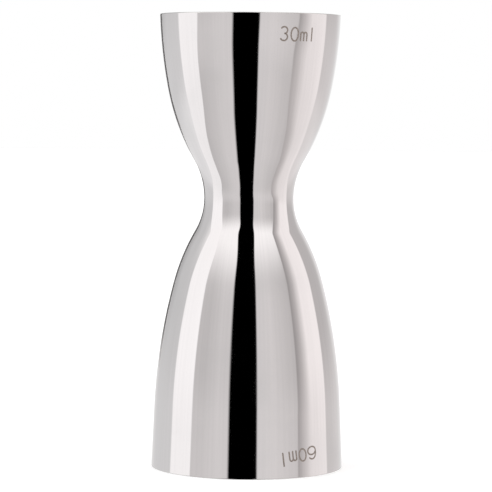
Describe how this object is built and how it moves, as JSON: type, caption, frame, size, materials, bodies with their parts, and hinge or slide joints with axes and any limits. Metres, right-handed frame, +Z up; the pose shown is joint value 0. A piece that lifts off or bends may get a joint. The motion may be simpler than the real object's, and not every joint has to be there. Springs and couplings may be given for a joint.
{
  "type": "bar jigger",
  "caption": "Hourglass double-ended spirit measure: two flared steel cups joined at a slim waist, with a brazed pan that parts the small measure from the large one.",
  "frame": {"origin": "centre of the large rim, on the surface that the jigger stands on", "axes": "+Z up along the axis of both cups, from the large rim to the small rim; X and Y lie in the plane of the rim"},
  "size_m": [0.0432, 0.0432, 0.102],
  "materials": {
    "polished_steel": "polished",
    "weld_steel": "satin",
    "pan_steel": "satin",
    "braze_alloy": "satin"
  },
  "bodies": {
    "root": {"large_cup": "polished_steel", "small_cup": "polished_steel", "waist_weld": "weld_steel", "divider": "pan_steel", "divider_braze": "braze_alloy"}
  },
  "joints": []
}
